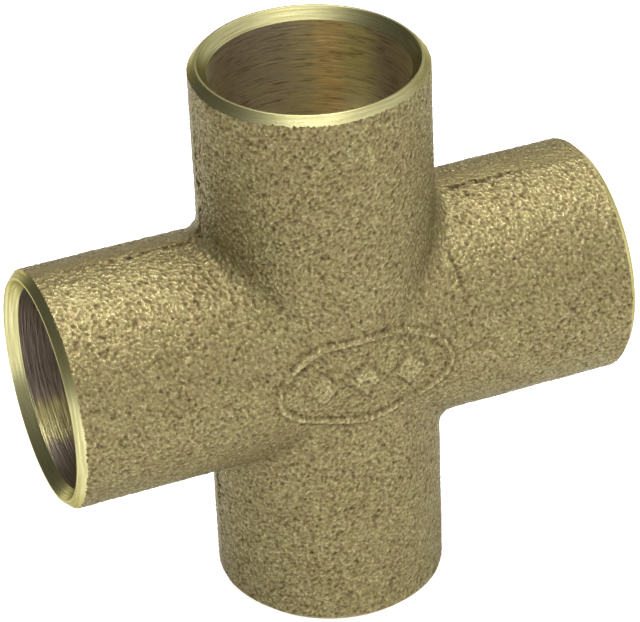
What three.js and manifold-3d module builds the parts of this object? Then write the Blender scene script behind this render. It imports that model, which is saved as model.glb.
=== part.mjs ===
// A cast bronze solder-joint cross for copper tube: four equal cups, at right angles in one
// plane, on one hollow body. Millimetres, +Z up, origin where the axes of the cups cross.
// The cups point along +Z, -Z, +X and -X, and the raised oval faces -Y.
//
// The real fitting is a single casting. It is divided here just outside its four tube stops
// into a centre body and four cups, which touch metal to metal on those planes. The body
// carries the stops, each at the foot of a shallow collar that the socket's wall carries on.

import * as THREE from "three";
import { mergeGeometries, mergeVertices } from "three/addons/utils/BufferGeometryUtils.js";
import Module from "manifold-3d";

// Sockets, for 7/8 in (22.2 mm) outside diameter copper tube, which is 3/4 in nominal.
const TUBE_DIAMETER = 22.225;
const SOLDER_CLEARANCE = 0.125;
const SOCKET_RADIUS = (TUBE_DIAMETER + SOLDER_CLEARANCE) / 2;
const SOCKET_DEPTH = 19.05;

// The casting.
const CUP_WALL = 2.05;
const CUP_RADIUS = SOCKET_RADIUS + CUP_WALL;
const STOP_DISTANCE = 14;
const DIVISION_DISTANCE = STOP_DISTANCE + 0.3;
const RIM_DISTANCE = STOP_DISTANCE + SOCKET_DEPTH;
const WATERWAY_RADIUS = 9.9;
const CROTCH_FILLET = 2.2;

// The machined rim of each cup: a bevel into the socket, a narrow flat land, and a chamfer.
const BEVEL_WIDTH = 1;
const BEVEL_DEPTH = 1.3;
const EDGE_CHAMFER = 0.7;

// The raised oval, where a foundry puts its mark: a ridge around three plain lozenges.
const OVAL_LENGTH = 21.6;
const OVAL_HEIGHT = 10.9;
const RIDGE_WIDTH = 0.9;
const RELIEF = 0.35;
const LOZENGE_LENGTH = 4.4;
const LOZENGE_HEIGHT = 4.4;
const LOZENGE_PITCH = 5.2;

// Fineness of the facets.
const SIDES = 48;
const FILLET_STEPS = 5;
const WELD = 1e-4;

// Tools that cut or bound the casting run this far past what they cut.
const OVERRUN = 2;

const QUARTER = Math.PI / 2;
const CUPS = [
  { name: "top_cup", turn: 0 },
  { name: "right_cup", turn: QUARTER },
  { name: "bottom_cup", turn: 2 * QUARTER },
  { name: "left_cup", turn: 3 * QUARTER },
];

const wasm = await Module();
wasm.setup();

// A closed three.js geometry as a solid. Vertices that coincide are shared first, and
// triangles that have shrunk to an edge are dropped.
function solid(geometry) {
  const bare = geometry.clone();
  bare.deleteAttribute("normal");
  bare.deleteAttribute("uv");
  const welded = mergeVertices(bare, WELD);
  const corners = [];
  for (let i = 0; i < welded.index.count; i += 3) {
    const [a, b, c] = [0, 1, 2].map((k) => welded.index.getX(i + k));
    if (a !== b && b !== c && c !== a) corners.push(a, b, c);
  }
  return new wasm.Manifold(
    new wasm.Mesh({
      numProp: 3,
      vertProperties: welded.attributes.position.array,
      triVerts: new Uint32Array(corners),
    }),
  );
}

// A solid as a three.js geometry again, with flat facets.
function geometryOf(made) {
  const mesh = made.getMesh();
  const geometry = new THREE.BufferGeometry();
  geometry.setAttribute("position", new THREE.BufferAttribute(mesh.vertProperties, 3));
  geometry.setIndex(new THREE.BufferAttribute(mesh.triVerts, 1));
  const faceted = geometry.toNonIndexed();
  faceted.computeVertexNormals();
  return faceted;
}

// One straight line of the upper arm's outside, from the middle of its end down to the
// 45 degree plane it shares with the arm beside it. The angle is measured round the arm
// from -Y towards +X.
//
// The crotch is filled by a ball that rolls along both arms. Its centre is a fillet radius
// out from both, and it touches them along their own normals, so the fillet is an arc from
// one normal to the other. The arm takes the half of the arc on its own side.
function armLine(angle) {
  const side = new THREE.Vector3(Math.sin(angle), -Math.cos(angle), 0);
  const besideNormal = new THREE.Vector3(0, side.y, Math.abs(side.x));
  const ball = new THREE.Vector3(side.x, side.y, Math.abs(side.x));
  ball.multiplyScalar(CUP_RADIUS + CROTCH_FILLET);
  const at = (radius, z) => side.clone().multiplyScalar(radius).setZ(z);

  const line = [
    at(0, RIM_DISTANCE),
    at(CUP_RADIUS - EDGE_CHAMFER, RIM_DISTANCE),
    at(CUP_RADIUS, RIM_DISTANCE - EDGE_CHAMFER),
  ];
  const toBeside = new THREE.Quaternion().setFromUnitVectors(side, besideNormal);
  for (let step = 0; step <= FILLET_STEPS; step++) {
    const turn = new THREE.Quaternion().slerp(toBeside, step / FILLET_STEPS / 2);
    const inward = side.clone().applyQuaternion(turn).multiplyScalar(-CROTCH_FILLET);
    line.push(ball.clone().add(inward));
  }
  return line;
}

// The outside of one arm as an open surface, upright; four of them close on each other.
function armSurface() {
  const positions = [];
  const indices = [];
  let rows = 0;
  for (let i = 0; i <= SIDES; i++) {
    const line = armLine((2 * Math.PI * i) / SIDES);
    rows = line.length;
    for (const point of line) positions.push(...point);
  }
  for (let i = 0; i < SIDES; i++) {
    for (let j = 0; j < rows - 1; j++) {
      const here = i * rows + j;
      const next = here + rows;
      indices.push(here, here + 1, next, next, here + 1, next + 1);
    }
  }
  const geometry = new THREE.BufferGeometry();
  geometry.setAttribute("position", new THREE.Float32BufferAttribute(positions, 3));
  geometry.setIndex(indices);
  return geometry;
}

// A solid of revolution around Z, from [radius, height] pairs that start and end on it.
function turned(profile) {
  const points = profile.map(([radius, z]) => new THREE.Vector2(radius, z));
  return new THREE.LatheGeometry(points, SIDES).rotateX(QUARTER);
}

// What is machined out of the upper cup: the socket down to its stop, and the bevel.
function socketCut() {
  return turned([
    [0, STOP_DISTANCE],
    [SOCKET_RADIUS, STOP_DISTANCE],
    [SOCKET_RADIUS, RIM_DISTANCE - BEVEL_DEPTH],
    [SOCKET_RADIUS + BEVEL_WIDTH, RIM_DISTANCE],
    [SOCKET_RADIUS + BEVEL_WIDTH, RIM_DISTANCE + OVERRUN],
    [0, RIM_DISTANCE + OVERRUN],
  ]);
}

// A cylinder along Z from end to end of the fitting and a little past it.
function throughCylinder(radius) {
  const reach = RIM_DISTANCE + OVERRUN;
  return turned([
    [0, -reach],
    [radius, -reach],
    [radius, reach],
    [0, reach],
  ]);
}

// Two crossed cylinders of one radius, along Z and along X.
function crossed(radius) {
  return solid(throughCylinder(radius)).add(solid(throughCylinder(radius).rotateY(QUARTER)));
}

// The outline of an ellipse.
function ovalOutline(Outline, length, height) {
  const outline = new Outline();
  outline.absellipse(0, 0, length / 2, height / 2, 0, 2 * Math.PI, false, 0);
  return outline;
}

function lozenge(x) {
  return new THREE.Shape([
    new THREE.Vector2(x - LOZENGE_LENGTH / 2, 0),
    new THREE.Vector2(x, -LOZENGE_HEIGHT / 2),
    new THREE.Vector2(x + LOZENGE_LENGTH / 2, 0),
    new THREE.Vector2(x, LOZENGE_HEIGHT / 2),
  ]);
}

// The raised oval and its lozenges, following the body at an even height.
function raisedMark() {
  const inner = 2 * RIDGE_WIDTH;
  const ridge = ovalOutline(THREE.Shape, OVAL_LENGTH, OVAL_HEIGHT);
  ridge.holes.push(ovalOutline(THREE.Path, OVAL_LENGTH - inner, OVAL_HEIGHT - inner));
  const shapes = [ridge, ...[-1, 0, 1].map((i) => lozenge(i * LOZENGE_PITCH))];
  const depth = CUP_RADIUS / 2;
  return shapes
    .map((shape) => new THREE.ExtrudeGeometry(shape, { depth, curveSegments: 18, bevelEnabled: false }))
    .map((block) => block.rotateX(QUARTER).translate(0, -CUP_RADIUS + depth - RELIEF, 0))
    .map((block) => solid(block).intersect(crossed(CUP_RADIUS + RELIEF)))
    .reduce((all, one) => all.add(one));
}

// The whole casting, machined.
function casting() {
  const arms = CUPS.map(({ turn }) => armSurface().rotateY(turn));
  let made = solid(mergeGeometries(arms)).add(raisedMark());
  made = made.subtract(crossed(WATERWAY_RADIUS));
  for (const { turn } of CUPS) made = made.subtract(solid(socketCut().rotateY(turn)));
  return made;
}

// The space past the upper division, and the space between all four divisions.
function pastDivision() {
  const length = RIM_DISTANCE + OVERRUN - DIVISION_DISTANCE;
  const width = 2 * DIVISION_DISTANCE + OVERRUN;
  const box = new THREE.BoxGeometry(width, width, length);
  return box.translate(0, 0, DIVISION_DISTANCE + length / 2);
}

function betweenDivisions() {
  const side = 2 * DIVISION_DISTANCE;
  return new THREE.BoxGeometry(side, side + OVERRUN, side);
}

const bronze = () => new THREE.MeshStandardMaterial({
  color: 0x8f8358,
  roughness: 0.55,
  metalness: 0.9,
});

const cross = new THREE.Group();
cross.name = "cross_fitting";

function addNode(name, made) {
  const mesh = new THREE.Mesh(geometryOf(made), bronze());
  mesh.name = name;
  cross.add(mesh);
}

const whole = casting();
addNode("centre_body", whole.intersect(solid(betweenDivisions())));
for (const { name, turn } of CUPS) {
  addNode(name, whole.intersect(solid(pastDivision().rotateY(turn))));
}

export default cross;
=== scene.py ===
"""Looks for a cast bronze solder-joint cross: rough sand-cast skin, machined rims and sockets.

The casting is one continuous surface. It is made here finely enough to carry its sand grain,
its raised oval, its dressed parting line and its machined edges, and divided like the CAD
model into a centre body and four cups. Shapes are worked out in millimetres.
"""

import math

import bpy
import numpy as np
from mathutils import Matrix, Vector


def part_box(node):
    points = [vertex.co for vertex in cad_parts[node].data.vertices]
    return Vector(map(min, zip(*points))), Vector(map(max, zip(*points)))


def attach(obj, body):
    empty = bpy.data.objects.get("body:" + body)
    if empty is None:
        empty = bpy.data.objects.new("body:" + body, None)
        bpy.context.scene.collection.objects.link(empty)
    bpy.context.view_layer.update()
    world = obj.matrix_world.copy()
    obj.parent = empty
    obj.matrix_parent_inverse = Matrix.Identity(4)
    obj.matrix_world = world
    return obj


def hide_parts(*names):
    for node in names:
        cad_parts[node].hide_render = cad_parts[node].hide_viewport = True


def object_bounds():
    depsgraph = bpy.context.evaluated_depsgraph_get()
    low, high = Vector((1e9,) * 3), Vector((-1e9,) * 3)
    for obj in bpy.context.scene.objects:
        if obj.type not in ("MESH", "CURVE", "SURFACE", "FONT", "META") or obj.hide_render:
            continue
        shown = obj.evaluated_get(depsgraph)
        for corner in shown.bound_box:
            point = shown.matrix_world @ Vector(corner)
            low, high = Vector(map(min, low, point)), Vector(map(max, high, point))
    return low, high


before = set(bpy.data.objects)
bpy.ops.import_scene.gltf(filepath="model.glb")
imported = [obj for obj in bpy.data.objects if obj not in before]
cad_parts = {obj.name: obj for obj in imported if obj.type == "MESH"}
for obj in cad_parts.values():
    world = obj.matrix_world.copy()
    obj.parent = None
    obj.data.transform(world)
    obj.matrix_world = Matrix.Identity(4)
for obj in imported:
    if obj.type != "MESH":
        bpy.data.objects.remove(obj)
cad_low, cad_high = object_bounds()

MM = 0.001

# ---------------------------------------------------------------- sizes, in millimetres
top_low, top_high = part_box("top_cup")
RIM_DISTANCE = top_high.z / MM
DIVISION_DISTANCE = top_low.z / MM
SOCKET_DEPTH = 19.05
STOP_DISTANCE = RIM_DISTANCE - SOCKET_DEPTH
CUP_RADIUS = -top_low.y / MM
CUP_WALL = 2.05
SOCKET_RADIUS = CUP_RADIUS - CUP_WALL
WATERWAY_RADIUS = 9.9
CROTCH_FILLET = 2.2
WATERWAY_FILLET = 0.9
# The faced shoulder ends this far short of the waterway's wall.
SHOULDER_GAP = 0.35

# The rim: a bevel into the socket, a narrow flat land and a chamfer, with broken edges.
BEVEL_WIDTH = 1.03
BEVEL_DEPTH = 1.3
EDGE_CHAMFER = 0.78
EDGE_BREAK = 0.08
# Each rim is turned about an axis a little off the casting's own: how far, and which way in
# radians from -Y towards +X, with the cup turned upright.
OFF_CENTRE = {"top_cup": 0.1, "right_cup": 0.13, "bottom_cup": 0.28, "left_cup": 0.1}
OFF_ANGLE = {"top_cup": 2.1, "right_cup": 0.4, "bottom_cup": 4.4, "left_cup": 3.9}

# The casting isn't quite true to its drawing: its upright cups came out a little slimmer from
# side to side, and its level cups a little taller. Rims and sockets are moved with them, so
# the true size of a socket is the CAD model's and not this one's.
SLIMMER = 0.0165
TALLER = 0.021

# The raised oval on the front: a ridge around three plain lozenges.
OVAL_LENGTH = 21.6
OVAL_HEIGHT = 10.9
RIDGE_WIDTH = 0.9
RELIEF = 0.35
RIDGE_SLOPE = 0.26
LOZENGE_HALF = 2.2
LOZENGE_PITCH = 5.2
LOZENGE_SLOPE = 0.36
# Painted shade lies at the foot of the relief: how far out its middle is, and how wide it is.
FOOT_SHADE_AWAY = 0.08
FOOT_SHADE_WIDTH = 0.42

# The body is swollen a little inside a ring around each arm.
SWELL = 0.12
SWELL_ENDS = 12.6
SWELL_BLEND = 0.3

# The mould's two halves meet near the XZ plane. The flash there has been dressed to a
# smoother band behind the line where they meet, and the line itself is pitted.
DRESSED_DEPTH = 0.07
DRESSED_WIDTH = 2.8
DRESSED_FADE = 0.6
MISMATCH = 0.025
# The line runs ahead of the plane on the left and behind it on the right.
LINE_MIDDLE = 0.25
LINE_LEAN = 1.05
LINE_TURN = 8
LINE_STEP = 0.3
LINE_WIDTH = 0.45
PIT_DEPTH = 0.24
PITTED_FROM = 19
PITTED_SPREAD = 7.5
PITTED_AHEAD = 1.1
PITTED_AHEAD_SPREAD = 1.2

# A short fold in the skin, low on the right arm's shoulder: its two ends.
CREASE = ((12.4, -8.6, 10.1), (12.7, -11.1, 7.2))
CREASE_WIDTH = 0.22
CREASE_DEPTH = 0.16

# The sand grain, coarse and fine, and long low waves under it. The fine grain's cells are
# turned away from the coarse grain's, so that the two never line up.
GRAIN_SIZE = 0.38
GRAIN_HEIGHT = 0.15
FINE_SHARE = 0.6
SCATTER_SIZE = 0.36
WAVE_HEIGHT = 0.05
TILT = np.array([[0.36, 0.48, -0.8], [-0.8, 0.6, 0.0], [0.48, 0.64, 0.6]])

# ---------------------------------------------------------------- fineness
COLUMNS = 576
INNER_COLUMNS = 240
SPACING = 2 * math.pi * CUP_RADIUS / COLUMNS
INNER_SPACING = 0.45
WALL_ROWS = 24
ARC_ROWS = 4
BEVEL_SHARES = (0.33, 0.66)
SKIN_ROUNDS = 6
WELD_DIGITS = 5
TINY = 1e-9

# Lengths along the turned profile past the division. They only place the tool marks.
COLLAR_MARKS = 0.3
SHOULDER_MARKS = 1.2

SKIN, MACHINED, BORED = range(3)

CUPS = [("top_cup", 0), ("right_cup", 1), ("bottom_cup", 2), ("left_cup", 3)]


# ---------------------------------------------------------------- noise
def hashed(cell, salt):
    """A repeatable number from 0 to 1 for each whole-number cell. The salt picks a pattern."""
    a = cell.astype(np.uint32)
    mixed = a[..., 0] * np.uint32(73856093) ^ a[..., 1] * np.uint32(19349663)
    mixed ^= a[..., 2] * np.uint32(83492791) ^ np.uint32(salt * 26699 + 17)
    for _ in range(2):
        mixed ^= mixed >> np.uint32(15)
        mixed *= np.uint32(0x2C1B3C6D)
        mixed ^= mixed >> np.uint32(12)
    return mixed.astype(float) / 0xFFFFFFFF


def gradient_noise(points, salt):
    """Smooth noise, about -1 to 1, whose features are about one unit apart."""
    base = np.floor(points).astype(np.int64)
    part = points - base
    fade = part**3 * (part * (part * 6 - 15) + 10)
    total = np.zeros(len(points))
    for corner in np.ndindex(2, 2, 2):
        step = np.array(corner)
        cell = base + step
        turn = hashed(cell, salt) * 2 * math.pi
        rise = hashed(cell, salt + 1) * 2 - 1
        flat = np.sqrt(1 - rise**2)
        slope = np.stack([flat * np.cos(turn), flat * np.sin(turn), rise], 1)
        weight = np.prod(np.where(step, fade, 1 - fade), axis=1)
        total += weight * np.sum(slope * (part - step), axis=1)
    return total * 1.6


def packed_grains(points, salt):
    """Rounded bumps, about one unit apart: 1 on top of a bump, 0 or less between them."""
    base = np.floor(points).astype(np.int64)
    best = np.full(len(points), -1.0)
    for corner in np.ndindex(3, 3, 3):
        cell = base + (np.array(corner) - 1)
        seed = hashed(cell, salt)
        place = [np.modf(seed * scale)[0] for scale in (97.0, 1013.0, 10007.0)]
        apart = points - (cell + np.stack(place, 1))
        reach = 0.55 + 0.35 * seed
        best = np.maximum(best, 1 - np.sum(apart**2, axis=1) / reach**2)
    return best


def ease(value):
    """0 below 0, 1 above 1 and a smooth step between."""
    value = np.clip(value, 0, 1)
    return value * value * (3 - 2 * value)


# ---------------------------------------------------------------- the crossed arms
class Arm:
    """One column grid of two crossed bores or barrels of a radius, with filleted crotches.

    A column at angle theta around the upper arm, from -Y towards +X, is straight down to
    where the crotch begins, and then follows the arc of a ball rolled along both arms.
    Position u along it is zero where the arc begins, positive up the arm, and negative
    round the arc; it ends on the 45 degree plane that the arm shares with its neighbour.
    """

    def __init__(self, radius, fillet, theta):
        self.radius = radius
        self.fillet = fillet
        self.theta = theta
        self.side = np.abs(np.sin(theta))
        zero = np.zeros_like(theta)
        self.own = np.stack([np.sin(theta), -np.cos(theta), zero], 1)
        self.beside = np.stack([zero, -np.cos(theta), self.side], 1)
        self.swing = np.arccos(np.clip(np.cos(theta) ** 2, -1, 1))
        self.begins = (radius + fillet) * self.side

    def u_at(self, z):
        """The position where each column is at height z."""
        ratio = np.sin(self.swing) / np.maximum(self.side, TINY)
        arc = np.arcsin(np.clip((self.begins - z) / self.fillet * ratio, 0, 1))
        return np.where(self.begins <= z, z - self.begins, -self.fillet * arc)

    def u_end(self):
        """The position where each column ends, on the 45 degree plane."""
        return -self.fillet * self.swing / 2

    def at(self, column, u):
        """Points and outward normals at position u of the given columns."""
        own, beside = self.own[column], self.beside[column]
        swing = np.maximum(self.swing[column], TINY)
        turned = np.clip(-u / self.fillet, 0, swing / 2)
        first = np.sin(swing - turned) / np.sin(swing)
        second = np.sin(turned) / np.sin(swing)
        normal = first[:, None] * own + second[:, None] * beside
        normal = np.where((self.side[column] > TINY)[:, None], normal, own)
        ball = (self.radius + self.fillet) * (own + beside * [0, 0, 1])
        point = ball - self.fillet * normal
        point[:, 2] += np.maximum(u, 0)
        return point, normal


def turned_arm(points, quarters):
    """The upper arm's points turned about Y into another arm's place."""
    x, y, z = np.moveaxis(np.asarray(points, float), -1, 0)
    for _ in range(quarters):
        x, z = z, -x
    return np.stack([x, y, z], -1)


# ---------------------------------------------------------------- height of the cast skin
def oval_distance(x, z, length, height):
    """Roughly the signed distance from the outline of an ellipse."""
    reach = np.hypot(x / (length / 2), z / (height / 2))
    slope = np.hypot(x / (length / 2) ** 2, z / (height / 2) ** 2)
    return reach * (reach - 1) / np.maximum(slope, 1e-6)


def raised_mark(points):
    """The ridge and its lozenges on the front of the body: their height, and how worn or
    shaded they are, from 1 on a worn top to -1 at a foot darkened by painted shade."""
    x, y, z = points.T
    line = oval_distance(x, z, OVAL_LENGTH - RIDGE_WIDTH, OVAL_HEIGHT - RIDGE_WIDTH)
    away = np.abs(line) - RIDGE_WIDTH / 2
    height = ease(-away / RIDGE_SLOPE)
    for i in (-1, 0, 1):
        outside = (np.abs(x - i * LOZENGE_PITCH) + np.abs(z) - LOZENGE_HALF) * math.sqrt(0.5)
        height = np.maximum(height, ease(-outside / LOZENGE_SLOPE))
        away = np.minimum(away, outside)
    # Painted shade: the colour is darkened in a band along the foot of the relief.
    foot = ease(1 - np.abs(away - FOOT_SHADE_AWAY) / FOOT_SHADE_WIDTH)
    # The relief came out of the sand unevenly, so it is shallower in places.
    uneven = 0.85 + 0.35 * gradient_noise(points * 0.32, 37) + 0.2 * gradient_noise(points * 1.3, 41)
    height = height * np.clip(uneven, 0.5, 1)
    front = y < 0
    return np.where(front, RELIEF * height, 0), np.where(front, height - foot, 0)


def parting(points):
    """How far each point is dressed smooth (0 to 1), how deep it lies in a pit (0 to 1),
    and its distance in front of the line where the mould's halves met."""
    x, y, z = points.T
    wander = 0.3 * gradient_noise(points * 0.35, 31) + 0.2 * gradient_noise(points * 1.6, 33)
    ahead = LINE_MIDDLE - LINE_LEAN * np.tanh(x / LINE_TURN) + wander - y
    behind = ease(-ahead / LINE_STEP + 0.5)
    dressed = behind * ease((DRESSED_WIDTH + ahead) / DRESSED_FADE + 0.5)
    # Pits lie thick along the line and thin in front of it, and die away towards the rims.
    far = np.maximum(np.abs(x), np.abs(z))
    worst = np.exp(-(((far - PITTED_FROM) / PITTED_SPREAD) ** 2))
    blotch = gradient_noise(points * 1.5, 35) + 0.5 * gradient_noise(points * 3.1, 39)
    on_line = np.exp(-((ahead / LINE_WIDTH) ** 2))
    before = np.exp(-(((ahead - PITTED_AHEAD) / PITTED_AHEAD_SPREAD) ** 2))
    pitted = worst * ease((blotch + 0.85 * on_line + 0.4 * before - 0.8) / 0.35)
    return dressed, pitted, ahead


def crease(points):
    """A short fold in the skin where the swollen body ends on the right arm, 0 to 1."""
    start, end = (np.array(place) for place in CREASE)
    run = end - start
    share = np.clip((points - start) @ run / (run @ run), 0, 1)
    apart = np.linalg.norm(points - start - share[:, None] * run, axis=1)
    return np.exp(-((apart / CREASE_WIDTH) ** 2))


def skin_height(points):
    """How far the cast skin stands out from the plain shape, and the grain that colours it:
    above 0 on the tops of its grains and below 0 between them, with painted shade in pits,
    in the crease and at the foot of the relief."""
    along = np.maximum(np.abs(points[:, 0]), np.abs(points[:, 2]))
    uneven = 0.55 + 0.45 * gradient_noise(points * 0.12, 3)
    height = SWELL * uneven * ease((SWELL_ENDS - along) / SWELL_BLEND + 0.5)

    dressed, pitted, ahead = parting(points)
    across = np.sqrt(np.maximum(CUP_RADIUS**2 - points[:, 1] ** 2, 1))
    flat = (CUP_RADIUS - DRESSED_DEPTH) * CUP_RADIUS / across - CUP_RADIUS
    height += np.minimum(flat, 0)
    folded = crease(points)
    step = MISMATCH * ease(ahead / LINE_STEP + 0.5)
    height += step - PIT_DEPTH * pitted - CREASE_DEPTH * folded

    waves = gradient_noise(points * 0.22, 5) + 0.25 * gradient_noise(points * 0.6, 7)
    height += WAVE_HEIGHT * waves

    tilted = points @ TILT
    coarse = packed_grains(points / GRAIN_SIZE, 11)
    fine = packed_grains(tilted / (GRAIN_SIZE * FINE_SHARE), 13)
    scatter = gradient_noise(tilted / SCATTER_SIZE, 19)
    grain = 0.55 * coarse + 0.4 * fine + 0.4 * scatter - 0.42
    patchy = 1 + 0.2 * gradient_noise(points * 0.45, 17)
    mark, wear_and_shade = raised_mark(points)
    wear_and_shade = wear_and_shade * (0.7 + 0.8 * gradient_noise(points * 0.8, 37))
    held = 1 - 0.5 * dressed
    height += GRAIN_HEIGHT * patchy * held * grain
    # The colour is lighter on grain tops and worn relief. Painted shade darkens it in pits, in the
    # crease and at the foot of the relief.
    return height + mark, grain * held + 0.42 * wear_and_shade - 1.3 * pitted - 0.8 * folded


def untrue(points):
    """Points of the drawing moved to where the casting really has them."""
    x, y, z = points.T

    def share(along):
        """Grows from the middle to a barrel's side, and dies away towards the rim."""
        far = np.abs(along)
        beyond = (RIM_DISTANCE - far) / (RIM_DISTANCE - CUP_RADIUS) * CUP_RADIUS
        return np.sign(along) * np.minimum(far, np.maximum(beyond, 0))

    return np.stack([x - SLIMMER * share(x), y, z + TALLER * share(z)], 1)


def core_height(points):
    """The height and grain of the cored passages inside."""
    grain = gradient_noise(points / 0.8, 41)
    return 0.05 * gradient_noise(points * 0.3, 43) + 0.04 * grain, grain


# ---------------------------------------------------------------- building up a mesh
class Surface:
    """Vertices with normals and shading data, and triangles with a material each."""

    def __init__(self):
        self.points, self.normals, self.grain, self.lathe = [], [], [], []
        self.triangles, self.kinds = [], []
        self.count = 0

    def add(self, points, normals, grain=None, lathe=None):
        """Adds vertices and returns their numbers."""
        size = len(points)
        self.points.append(points)
        self.normals.append(normals)
        self.grain.append(np.zeros(size) if grain is None else grain)
        self.lathe.append(np.zeros((size, 3)) if lathe is None else lathe)
        self.count += size
        return np.arange(self.count - size, self.count)

    def face(self, triangles, kind):
        """Adds triangles of one material."""
        triangles = np.asarray(triangles, int).reshape(-1, 3)
        self.triangles.append(triangles)
        self.kinds.append(np.full(len(triangles), kind))

    def grid(self, numbers, kind, flip=False):
        """Faces between the rows of numbers, each row a closed ring."""
        here, below = numbers[:-1], numbers[1:]
        here_next, below_next = np.roll(here, -1, 1), np.roll(below, -1, 1)
        first = np.stack([here, below, here_next], -1)
        second = np.stack([here_next, below, below_next], -1)
        faces = np.concatenate([first.reshape(-1, 3), second.reshape(-1, 3)])
        self.face(faces[:, ::-1] if flip else faces, kind)

    def stitch(self, left, right, kind, flip=False):
        """Faces between two lines of vertices that start together and end together."""
        faces = []
        i = j = 0
        while i < len(left) - 1 or j < len(right) - 1:
            next_left = (i + 1) / max(len(left) - 1, 1)
            next_right = (j + 1) / max(len(right) - 1, 1)
            if j == len(right) - 1 or (i < len(left) - 1 and next_left <= next_right):
                faces.append((left[i], left[i + 1], right[j]))
                i += 1
            else:
                faces.append((left[i], right[j + 1], right[j]))
                j += 1
        faces = np.array(faces)
        self.face(faces[:, ::-1] if flip else faces, kind)

    def joined(self):
        """Points, normals, grain, lathe data, triangles and their materials, as whole arrays."""
        return (
            np.concatenate(self.points),
            np.concatenate(self.normals),
            np.concatenate(self.grain),
            np.concatenate(self.lathe),
            np.concatenate(self.triangles),
            np.concatenate(self.kinds),
        )


def skin_normals(places, moved, triangles):
    """Area-weighted normals, shared by every vertex that stands in the same place."""
    _, same = np.unique(np.round(places, WELD_DIGITS), axis=0, return_inverse=True)
    same = same.reshape(-1)
    a, b, c = (moved[triangles[:, k]] for k in range(3))
    facing = np.cross(b - a, c - a)
    total = np.zeros((same.max() + 1, 3))
    for k in range(3):
        np.add.at(total, same[triangles[:, k]], facing)
    total /= np.maximum(np.linalg.norm(total, axis=1), 1e-12)[:, None]
    return total[same]


# ---------------------------------------------------------------- cast skin of each region
theta = 2 * math.pi * np.arange(COLUMNS) / COLUMNS
outer = Arm(CUP_RADIUS, CROTCH_FILLET, theta)
all_columns = np.arange(COLUMNS)


def chamfer_start(name, quarters):
    """The height on the upper arm where each column's skin meets the turned chamfer."""
    z = np.full(COLUMNS, RIM_DISTANCE - EDGE_CHAMFER)
    shift = OFF_CENTRE[name] * np.cos(theta - OFF_ANGLE[name])
    for _ in range(SKIN_ROUNDS):
        points, _ = outer.at(all_columns, outer.u_at(z))
        height, _ = skin_height(turned_arm(points, quarters))
        z = RIM_DISTANCE - EDGE_CHAMFER - (height - shift)
    return z


def cup_skin_grid(name, quarters):
    """Undisplaced points and normals of a cup's outside, in rows from rim to division."""
    top = outer.u_at(chamfer_start(name, quarters))
    bottom = outer.u_at(DIVISION_DISTANCE)
    rows = round((RIM_DISTANCE - DIVISION_DISTANCE) / SPACING)
    points, normals = [], []
    for share in np.linspace(0, 1, rows + 1):
        point, normal = outer.at(all_columns, top + (bottom - top) * share)
        points.append(turned_arm(point, quarters))
        normals.append(turned_arm(normal, quarters))
    return np.array(points), np.array(normals)


def sector_columns(arm, distance, spacing, quarters):
    """Each column of an arm from a distance down to the 45 degree plane, as a list."""
    start, end = arm.u_at(distance), arm.u_end()
    columns = []
    for i in range(len(arm.theta)):
        steps = max(1, round((start[i] - end[i]) / spacing))
        u = np.linspace(start[i], end[i], steps + 1)
        point, normal = arm.at(np.full(steps + 1, i), u)
        columns.append((turned_arm(point, quarters), turned_arm(normal, quarters)))
    return columns


def add_sector(surface, arm, distance, spacing, quarters, kind, flip):
    """Adds one arm's share of the body, and returns the ring of vertices at its start."""
    columns = sector_columns(arm, distance, spacing, quarters)
    numbers = [surface.add(point, -normal if flip else normal) for point, normal in columns]
    for i, line in enumerate(numbers):
        surface.stitch(line, numbers[(i + 1) % len(numbers)], kind, flip)
    return np.array([line[0] for line in numbers])


# ---------------------------------------------------------------- turned surfaces
def arc(centre, start, end):
    """Points and normals of a small rounding about a centre, from one angle to another."""
    angles = np.radians(np.linspace(start, end, ARC_ROWS + 1))
    normals = np.stack([np.cos(angles), np.sin(angles)], 1)
    return [(*(np.array(centre) + EDGE_BREAK * n), *n) for n in normals]


def rounded_corner(before, corner, after):
    """A corner of a profile with its edge broken, as (radius, z, normal) rows.

    The profile runs from outside over the rim and down the socket, so that the metal is
    on its left and a normal points to its right.
    """
    before, corner, after = (np.array(p, float) for p in (before, corner, after))
    come = (corner - before) / np.linalg.norm(corner - before)
    go = (after - corner) / np.linalg.norm(after - corner)
    turn = math.acos(np.clip(come @ go, -1, 1))
    normal = np.array([come[1], -come[0]])
    centre = corner - come * EDGE_BREAK * math.tan(turn / 2) - normal * EDGE_BREAK
    start = math.degrees(math.atan2(normal[1], normal[0]))
    return arc(centre, start, start + math.degrees(turn))


def rim_profile():
    """Rows (radius, z, normal r, normal z) from the chamfer down the socket to the division."""
    chamfer = (CUP_RADIUS, RIM_DISTANCE - EDGE_CHAMFER)
    outer_edge = (CUP_RADIUS - EDGE_CHAMFER, RIM_DISTANCE)
    inner_edge = (SOCKET_RADIUS + BEVEL_WIDTH, RIM_DISTANCE)
    bevel_foot = (SOCKET_RADIUS, RIM_DISTANCE - BEVEL_DEPTH)
    foot = (SOCKET_RADIUS, DIVISION_DISTANCE)
    rows = rounded_corner(chamfer, outer_edge, inner_edge)
    rows += rounded_corner(outer_edge, inner_edge, bevel_foot)
    bevel = rows[-1]
    for share in BEVEL_SHARES:
        r = bevel[0] + (bevel_foot[0] - bevel[0]) * share
        z = bevel[1] + (bevel_foot[1] - bevel[1]) * share
        rows.append((r, z, bevel[2], bevel[3]))
    rows += rounded_corner(inner_edge, bevel_foot, foot)
    last_z = rows[-1][1]
    for share in np.linspace(0, 1, WALL_ROWS + 1)[1:]:
        rows.append((SOCKET_RADIUS, last_z + (DIVISION_DISTANCE - last_z) * share, -1, 0))
    return rows


def lathe_data(length):
    """Direction round the axis and length along the profile, for tool marks."""
    return np.stack([np.cos(theta), np.sin(theta), np.full(COLUMNS, length)], 1)


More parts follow.
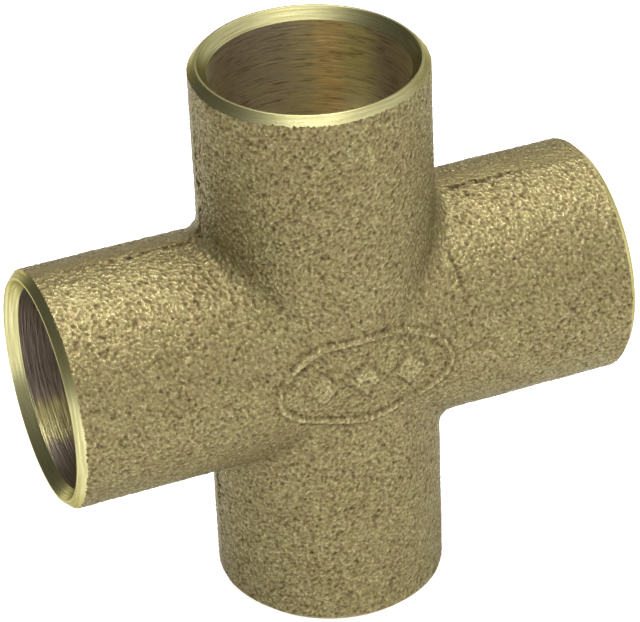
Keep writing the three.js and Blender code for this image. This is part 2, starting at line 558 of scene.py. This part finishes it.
def turned_ring(name, quarters, radius, z, normal_r, normal_z):
    """One ring of a turned surface about the cup's machining axis."""
    angle = OFF_ANGLE[name]
    shift = OFF_CENTRE[name] * np.array([math.sin(angle), -math.cos(angle), 0])
    points = radius * outer.own + shift + np.array([0, 0, z])
    normals = normal_r * outer.own + np.array([0, 0, normal_z])
    return turned_arm(points, quarters), turned_arm(normals, quarters)


# ---------------------------------------------------------------- making the pieces
def add_cup(name, quarters):
    """A cup: cast outside, turned rim and socket, and the plane where it meets the body."""
    surface = Surface()
    places, normals = cup_skin_grid(name, quarters)
    rows = len(places)
    flat_places = places.reshape(-1, 3)
    height, grain = skin_height(flat_places)
    moved = flat_places + normals.reshape(-1, 3) * height[:, None]
    skin = surface.add(moved, normals.reshape(-1, 3), grain).reshape(rows, COLUMNS)
    surface.grid(skin, SKIN)

    profile = rim_profile()
    # The chamfer starts on the cast skin itself.
    slope = math.sqrt(0.5)
    _, chamfer_normals = turned_ring(name, quarters, 1, 0, slope, slope)
    edge = surface.add(moved[:COLUMNS], chamfer_normals, lathe=lathe_data(0))
    rings, length, before = [edge], 0.0, None
    for radius, z, normal_r, normal_z in profile:
        if before is not None:
            length += math.hypot(radius - before[0], z - before[1])
        before = (radius, z)
        points, ring_normals = turned_ring(name, quarters, radius, z, normal_r, normal_z)
        data = lathe_data(EDGE_CHAMFER + length)
        rings.append(surface.add(points, ring_normals, lathe=data))
    foot = len(rings) - 1 - WALL_ROWS
    surface.grid(np.array(rings[: foot + 1]), MACHINED, flip=True)
    surface.grid(np.array(rings[foot:]), BORED, flip=True)

    down = np.tile(turned_arm([[0, 0, -1]], quarters), (COLUMNS, 1))
    last_skin = surface.add(moved[-COLUMNS:], down)
    wall_points, _ = turned_ring(name, quarters, SOCKET_RADIUS, DIVISION_DISTANCE, -1, 0)
    last_wall = surface.add(wall_points, down)
    surface.grid(np.array([last_skin, last_wall]), BORED)
    return surface, places


def body_surface():
    """The body: cast outside, cored passages, and a faced shoulder at each tube stop."""
    surface = Surface()
    inner_theta = 2 * math.pi * np.arange(INNER_COLUMNS) / INNER_COLUMNS
    inner = Arm(WATERWAY_RADIUS, WATERWAY_FILLET, inner_theta)
    outer_rings = [
        add_sector(surface, outer, DIVISION_DISTANCE, SPACING, quarters, SKIN, False)
        for _, quarters in CUPS
    ]
    skin_count = surface.count
    inner_rings = [
        add_sector(surface, inner, STOP_DISTANCE, INNER_SPACING, quarters, BORED, True)
        for _, quarters in CUPS
    ]

    places = np.concatenate(surface.points)
    normals = np.concatenate(surface.normals)
    skin_rise, skin_grain_and_shade = skin_height(places[:skin_count])
    core_rise, core_grain = core_height(places[skin_count:])
    rise = np.concatenate([skin_rise, -0.5 * core_rise])
    grain = np.concatenate([skin_grain_and_shade, core_grain])
    moved = places + normals * rise[:, None]
    surface.points, surface.normals, surface.grain = [moved], [normals], [grain]

    for (name, quarters), outside, inside in zip(CUPS, outer_rings, inner_rings):
        up = turned_arm([[0, 0, 1]], quarters)

        def turned(radius, z, normal_r, normal_z, length):
            points, normals = turned_ring(name, quarters, radius, z, normal_r, normal_z)
            return surface.add(points, normals, lathe=lathe_data(length))

        seat_edge = surface.add(moved[outside], np.tile(up, (COLUMNS, 1)))
        seat = turned(SOCKET_RADIUS, DIVISION_DISTANCE, 0, 1, 0)
        surface.grid(np.array([seat_edge, seat]), BORED, flip=True)
        collar = turned(SOCKET_RADIUS, DIVISION_DISTANCE, -1, 0, 0)
        collar_foot = turned(SOCKET_RADIUS, STOP_DISTANCE, -1, 0, COLLAR_MARKS)
        surface.grid(np.array([collar, collar_foot]), BORED, flip=True)
        shoulder = turned(SOCKET_RADIUS, STOP_DISTANCE, 0, 1, COLLAR_MARKS)
        near = turned(WATERWAY_RADIUS + SHOULDER_GAP, STOP_DISTANCE, 0, 1, SHOULDER_MARKS)
        surface.grid(np.array([shoulder, near]), BORED, flip=True)
        core = surface.add(moved[inside], np.tile(up, (INNER_COLUMNS, 1)))
        surface.stitch(np.append(near, near[0]), np.append(core, core[0]), BORED, flip=True)
    return surface, places[:skin_count]


def make_piece(name, surface, normals, materials):
    """A Blender object from a finished surface, with its own normals at each corner."""
    points, _, grain, lathe, triangles, kinds = surface.joined()
    points = untrue(points)
    rounded = np.round(points, WELD_DIGITS)
    _, first, same = np.unique(rounded, axis=0, return_index=True, return_inverse=True)
    same = same.reshape(-1)
    corners = same[triangles]
    solid = (
        (corners[:, 0] != corners[:, 1])
        & (corners[:, 1] != corners[:, 2])
        & (corners[:, 2] != corners[:, 0])
    )
    corners, kinds, old = corners[solid], kinds[solid], triangles[solid]

    mesh = bpy.data.meshes.new(name)
    mesh.vertices.add(len(first))
    mesh.vertices.foreach_set("co", (points[first] * MM).astype(np.float32).ravel())
    mesh.loops.add(corners.size)
    mesh.loops.foreach_set("vertex_index", corners.ravel().astype(np.int32))
    mesh.polygons.add(len(corners))
    mesh.polygons.foreach_set("loop_start", np.arange(0, corners.size, 3, dtype=np.int32))
    mesh.polygons.foreach_set("material_index", kinds.astype(np.int32))
    mesh.update(calc_edges=True)
    mesh.polygons.foreach_set("use_smooth", np.ones(len(corners), bool))
    for key, values, form in (("grain", grain, "FLOAT"), ("lathe", lathe, "FLOAT_VECTOR")):
        attribute = mesh.attributes.new(key, form, "CORNER")
        field = "value" if form == "FLOAT" else "vector"
        attribute.data.foreach_set(field, values[old.ravel()].astype(np.float32).ravel())
    mesh.normals_split_custom_set(normals[old.ravel()].astype(np.float32))
    for material in materials:
        mesh.materials.append(material)
    piece = bpy.data.objects.new(name, mesh)
    bpy.context.scene.collection.objects.link(piece)
    return piece


# ---------------------------------------------------------------- materials
# A colour mix node's sockets, which share their names with its other kinds of value.
MIX_FIRST, MIX_SECOND, MIX_RESULT = 6, 7, 2


def node(tree, kind, **values):
    """A shader node with its properties and input values set by name."""
    made = tree.nodes.new(kind)
    for key, value in values.items():
        if key in made.inputs:
            made.inputs[key].default_value = value
        else:
            setattr(made, key, value)
    return made


def link(tree, source, target):
    tree.links.new(source, target)


def metal(name, roughness, metallic=1.0, edge=(1, 1, 1)):
    """A metallic material, with its tree and its shader."""
    material = bpy.data.materials.new(name)
    material.use_nodes = True
    tree = material.node_tree
    tree.nodes.clear()
    output = node(tree, "ShaderNodeOutputMaterial")
    shader = node(tree, "ShaderNodeBsdfPrincipled")
    shader.inputs["Metallic"].default_value = metallic
    shader.inputs["Roughness"].default_value = roughness
    shader.inputs["Specular Tint"].default_value = (*edge, 1)
    link(tree, shader.outputs["BSDF"], output.inputs["Surface"])
    return material, tree, shader


def noise(tree, vector, scale, detail=2.0, rough=0.5):
    made = node(tree, "ShaderNodeTexNoise")
    made.inputs["Scale"].default_value = scale
    made.inputs["Detail"].default_value = detail
    made.inputs["Roughness"].default_value = rough
    link(tree, vector, made.inputs["Vector"])
    return made.outputs["Fac"]


def ramp(tree, factor, stops):
    made = node(tree, "ShaderNodeValToRGB")
    elements = made.color_ramp.elements
    elements[0].position, elements[0].color = stops[0][0], (*stops[0][1], 1)
    elements[1].position, elements[1].color = stops[-1][0], (*stops[-1][1], 1)
    for position, color in stops[1:-1]:
        elements.new(position).color = (*color, 1)
    link(tree, factor, made.inputs["Fac"])
    return made.outputs["Color"]


def remap(tree, value, low, high, to_low, to_high):
    made = node(tree, "ShaderNodeMapRange")
    made.inputs["From Min"].default_value = low
    made.inputs["From Max"].default_value = high
    made.inputs["To Min"].default_value = to_low
    made.inputs["To Max"].default_value = to_high
    link(tree, value, made.inputs["Value"])
    return made.outputs["Result"]


def blend(tree, kind, factor, first, second):
    made = node(tree, "ShaderNodeMix", data_type="RGBA", blend_type=kind)
    made.inputs["Factor"].default_value = factor if isinstance(factor, float) else 1.0
    if not isinstance(factor, float):
        link(tree, factor, made.inputs["Factor"])
    link(tree, first, made.inputs[MIX_FIRST])
    link(tree, second, made.inputs[MIX_SECOND])
    return made.outputs[MIX_RESULT]


def bump(tree, height, distance, strength=1.0, normal=None):
    made = node(tree, "ShaderNodeBump")
    made.inputs["Strength"].default_value = strength
    made.inputs["Distance"].default_value = distance
    link(tree, height, made.inputs["Height"])
    if normal is not None:
        link(tree, normal, made.inputs["Normal"])
    return made.outputs["Normal"]


def cast_bronze():
    """Sand-cast skin: khaki bronze, bright on its worn grains, and brown with painted shade
    in its pits, its crease and at the foot of its relief.
    """
    material, tree, shader = metal("cast_bronze", 0.42, 0.64, (0.54, 0.52, 0.46))
    place = node(tree, "ShaderNodeTexCoord").outputs["Object"]
    grain = node(tree, "ShaderNodeAttribute", attribute_name="grain").outputs["Fac"]
    speck = noise(tree, place, 3000, 2.0, 0.6)
    cloud = noise(tree, place, 150, 3.0, 0.6)
    # The colour follows the grain value, whose low end holds the painted shade of pits, the crease
    # and the relief's foot.
    pits = ramp(tree, remap(tree, grain, -1.4, 0.6, 0, 1), [
        (0.0, (0.022, 0.016, 0.008)),
        (0.40, (0.110, 0.084, 0.037)),
        (0.61, (0.168, 0.137, 0.061)),
        (0.79, (0.210, 0.178, 0.084)),
        (1.0, (0.325, 0.291, 0.156)),
    ])
    specks = ramp(tree, speck, [(0.35, (0.76, 0.74, 0.69)), (0.65, (1.22, 1.22, 1.20))])
    clouds = ramp(tree, cloud, [(0.3, (0.95, 0.92, 0.90)), (0.7, (1.04, 1.05, 1.04))])
    tint = ramp(tree, noise(tree, place, 600, 2.0, 0.6), [
        (0.35, (1.02, 0.99, 1.02)),
        (0.65, (0.98, 1.005, 0.97)),
    ])
    color = blend(tree, "MULTIPLY", 1.0, blend(tree, "MULTIPLY", 1.0, pits, specks), clouds)
    color = blend(tree, "MULTIPLY", 1.0, color, tint)
    link(tree, color, shader.inputs["Base Color"])
    link(tree, remap(tree, grain, -0.5, 0.5, 0.62, 0.13), shader.inputs["Roughness"])
    rough = noise(tree, place, 3000, 3.0, 0.65)
    link(tree, bump(tree, rough, 0.00016, 0.9), shader.inputs["Normal"])
    return material


def tool_marks(tree, around, along, detail=2.0):
    """Noise drawn out round the axis, as a cutting tool leaves it."""
    data = node(tree, "ShaderNodeAttribute", attribute_name="lathe").outputs["Vector"]
    stretch = node(tree, "ShaderNodeVectorMath", operation="MULTIPLY")
    stretch.inputs[1].default_value = (around, around, along)
    link(tree, data, stretch.inputs[0])
    return noise(tree, stretch.outputs["Vector"], 1.0, detail, 0.6)


def machined_bronze():
    """The bright turned rim."""
    material, tree, shader = metal("machined_bronze", 0.26, 1.0, (0.50, 0.46, 0.34))
    marks = tool_marks(tree, 2.0, 5.0, 3.0)
    color = ramp(tree, marks, [(0.3, (0.28, 0.25, 0.10)), (0.7, (0.54, 0.51, 0.27))])
    link(tree, color, shader.inputs["Base Color"])
    link(tree, remap(tree, marks, 0.3, 0.7, 0.36, 0.24), shader.inputs["Roughness"])
    link(tree, bump(tree, marks, 0.00003, 0.5), shader.inputs["Normal"])
    return material


def stains(tree, stops):
    """Colours that change round a cup: each a (degrees from -Y towards +X, colour) pair."""
    data = node(tree, "ShaderNodeAttribute", attribute_name="lathe").outputs["Vector"]
    parts = node(tree, "ShaderNodeSeparateXYZ")
    link(tree, data, parts.inputs["Vector"])
    angle = node(tree, "ShaderNodeMath", operation="ARCTAN2")
    link(tree, parts.outputs["Y"], angle.inputs[0])
    link(tree, parts.outputs["X"], angle.inputs[1])
    share = remap(tree, angle.outputs["Value"], -math.pi, math.pi, 0, 1)
    wobble = remap(tree, tool_marks(tree, 3.0, 1.0, 2.0), 0.0, 1.0, -0.02, 0.02)
    total = node(tree, "ShaderNodeMath", operation="ADD")
    link(tree, share, total.inputs[0])
    link(tree, wobble, total.inputs[1])
    places = [((degrees + 180) / 360, color) for degrees, color in stops]
    return ramp(tree, total.outputs["Value"], places)


# How far to the left of the middle the painted shade in the left socket begins, and is at its full.
SOCKET_SHADE_BEGINS = 14
SOCKET_SHADE_FULL = 16


def bored_bronze():
    """The bored socket: duller, stained, ringed by the boring tool and torn in short dashes,
    with painted shade darkening the left socket.
    """
    material, tree, shader = metal("bored_bronze", 0.34)
    rings = tool_marks(tree, 1.8, 4.5, 3.0)
    torn = tool_marks(tree, 4.5, 4.0, 2.0)
    base = ramp(tree, rings, [(0.3, (0.50, 0.47, 0.36)), (0.7, (0.80, 0.75, 0.57))])
    dash = ramp(tree, torn, [(0.53, (1, 1, 1)), (0.66, (0.60, 0.57, 0.54))])
    umber, rust, olive = (0.76, 0.70, 0.78), (1.15, 0.94, 0.70), (1.02, 1.00, 0.76)
    drab = (0.88, 0.84, 0.76)
    usual = stains(tree, [
        (-150, umber), (-110, olive), (60, olive), (112, umber),
        (124, olive), (133, olive), (143, rust), (150, rust), (161, drab), (175, umber),
    ])
    # The left socket is darkened with painted shade, but for one less shaded band low on its back.
    socket_shade = (0.46, 0.40, 0.42)
    less_shaded = (0.86, 0.81, 0.52)
    shaded_socket = stains(tree, [(-143, socket_shade), (-136, less_shaded), (-119, less_shaded), (-111, socket_shade)])
    place = node(tree, "ShaderNodeSeparateXYZ")
    link(tree, node(tree, "ShaderNodeTexCoord").outputs["Object"], place.inputs["Vector"])
    left = remap(tree, place.outputs["X"], -SOCKET_SHADE_BEGINS * MM, -SOCKET_SHADE_FULL * MM, 0, 1)
    tint = blend(tree, "MIX", left, usual, shaded_socket)
    stained = blend(tree, "MULTIPLY", 1.0, blend(tree, "MULTIPLY", 1.0, base, tint), dash)
    link(tree, stained, shader.inputs["Base Color"])
    link(tree, remap(tree, rings, 0.3, 0.7, 0.50, 0.34), shader.inputs["Roughness"])
    link(tree, bump(tree, rings, 0.00008, 0.8), shader.inputs["Normal"])
    return material


def plain_white():
    """The floor: matt and pale, with a glow of its own so that it holds little shadow."""
    material = bpy.data.materials.new("pale_floor")
    material.use_nodes = True
    shader = material.node_tree.nodes["Principled BSDF"]
    shader.inputs["Base Color"].default_value = (0.55, 0.55, 0.55, 1)
    shader.inputs["Roughness"].default_value = 0.9
    shader.inputs["Emission Color"].default_value = (1, 1, 1, 1)
    shader.inputs["Emission Strength"].default_value = 0.8
    return material


# ---------------------------------------------------------------- camera, floor and light
AZIMUTH, ELEVATION, ROLL = (math.radians(a) for a in (-21.03, 32.97, -2.58))
DISTANCE = 0.3544
LENS = 178.0
RISE = 0.00085

# The studio is brightest in one direction and has a dark side in another.
BRIGHT_SIDE = (0.40, -0.56, 0.73)
DARK_SIDE = (-0.78, 0.50, 0.36)
BACKDROP = 1.2
FLOOR_HALF = 3.0

# The lights, all aimed at the part: where each stands and its sides, in metres, and its watts.
LIGHTS = [
    ("key", (0.03, 0.07, 0.95), (0.6, 0.95), 14.8),
    ("front", (-0.10, -0.66, 0.55), (1.3, 0.35), 2.1),
]


def add_camera():
    """A long lens, above the front and a little to the left."""
    back = Vector((
        math.sin(AZIMUTH) * math.cos(ELEVATION),
        -math.cos(AZIMUTH) * math.cos(ELEVATION),
        math.sin(ELEVATION),
    ))
    right = Vector((math.cos(AZIMUTH), math.sin(AZIMUTH), 0))
    up = back.cross(right)
    right, up = (
        right * math.cos(ROLL) + up * math.sin(ROLL),
        up * math.cos(ROLL) - right * math.sin(ROLL),
    )
    camera = bpy.data.objects.new("camera", bpy.data.cameras.new("camera"))
    camera.data.lens = LENS
    camera.data.clip_start = 0.02
    camera.data.clip_end = 10
    turn = Matrix((right, up, back)).transposed().to_4x4()
    camera.matrix_world = Matrix.Translation(back * DISTANCE + up * RISE) @ turn
    bpy.context.scene.collection.objects.link(camera)
    bpy.context.scene.camera = camera


def add_floor():
    """A wide floor, level with the foot of the part."""
    mesh = bpy.data.meshes.new("floor")
    half, z = FLOOR_HALF, cad_low.z
    corners = [(-half, -half, z), (half, -half, z), (half, half, z), (-half, half, z)]
    mesh.from_pydata(corners, [], [(0, 1, 2, 3)])
    mesh.materials.append(plain_white())
    floor = bpy.data.objects.new("floor", mesh)
    bpy.context.scene.collection.objects.link(floor)


def add_area_light(name, place, size, power):
    """A soft rectangular light, aimed at the middle of the part."""
    data = bpy.data.lights.new(name, "AREA")
    data.shape = "RECTANGLE"
    data.size, data.size_y = size
    data.energy = power
    light = bpy.data.objects.new(name, data)
    light.location = place
    light.rotation_euler = (-Vector(place)).to_track_quat("-Z", "Y").to_euler()
    bpy.context.scene.collection.objects.link(light)


def add_world():
    """A studio: white where the camera looks, brightest above the front right, and dark at
    the back left."""
    world = bpy.data.worlds.new("studio")
    world.use_nodes = True
    tree = world.node_tree
    tree.nodes.clear()
    output = node(tree, "ShaderNodeOutputWorld")
    seen = node(tree, "ShaderNodeBackground")
    seen.inputs["Color"].default_value = (1, 1, 1, 1)
    seen.inputs["Strength"].default_value = BACKDROP
    lit = node(tree, "ShaderNodeBackground")
    direction = node(tree, "ShaderNodeTexCoord").outputs["Generated"]

    def shade(side, low, stops):
        """Greys that change with how nearly a direction points to one side of the studio."""
        toward = node(tree, "ShaderNodeVectorMath", operation="DOT_PRODUCT")
        toward.inputs[1].default_value = side
        link(tree, direction, toward.inputs[0])
        greys = [(place, (grey, grey, grey)) for place, grey in stops]
        return ramp(tree, remap(tree, toward.outputs["Value"], low, 1, 0, 1), greys)

    bright = shade(BRIGHT_SIDE, -0.4, [(0.0, 0.40), (0.3, 0.56), (0.65, 0.84), (1.0, 1.08)])
    dark = shade(DARK_SIDE, 0.25, [(0.0, 1.0), (0.45, 0.70), (0.9, 0.25)])
    sky = blend(tree, "MULTIPLY", 1.0, bright, dark)
    link(tree, sky, lit.inputs["Color"])
    lit.inputs["Strength"].default_value = 1.0
    path = node(tree, "ShaderNodeLightPath")
    mix = node(tree, "ShaderNodeMixShader")
    link(tree, path.outputs["Is Camera Ray"], mix.inputs["Fac"])
    link(tree, lit.outputs["Background"], mix.inputs[1])
    link(tree, seen.outputs["Background"], mix.inputs[2])
    link(tree, mix.outputs["Shader"], output.inputs["Surface"])
    bpy.context.scene.world = world


add_camera()
add_floor()
add_world()
for light_name, light_place, light_size, light_power in LIGHTS:
    add_area_light(light_name, light_place, light_size, light_power)
bpy.context.scene.view_settings.view_transform = "Standard"

MATERIALS = [cast_bronze(), machined_bronze(), bored_bronze()]

parts = {"centre_body": body_surface()}
for cup_name, cup_quarters in CUPS:
    parts[cup_name] = add_cup(cup_name, cup_quarters)

# The skin's normals come from all five regions together, so no seam shows between them.
skin_places, skin_moved, skin_faces, spans, start = [], [], [], {}, 0
for part_name, (surface, places) in parts.items():
    points, _, _, _, triangles, kinds = surface.joined()
    flat_places = places.reshape(-1, 3)
    size = len(flat_places)
    skin_places.append(flat_places)
    skin_moved.append(untrue(points[:size]))
    skin_faces.append(triangles[kinds == SKIN] + start)
    spans[part_name] = (start, size)
    start += size
shared = skin_normals(*(np.concatenate(x) for x in (skin_places, skin_moved, skin_faces)))

for part_name, (surface, _) in parts.items():
    begin, size = spans[part_name]
    part_normals = surface.joined()[1].copy()
    part_normals[:size] = shared[begin : begin + size]
    piece = make_piece(part_name + "_bronze", surface, part_normals, MATERIALS)
    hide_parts(part_name)
    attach(piece, "root")
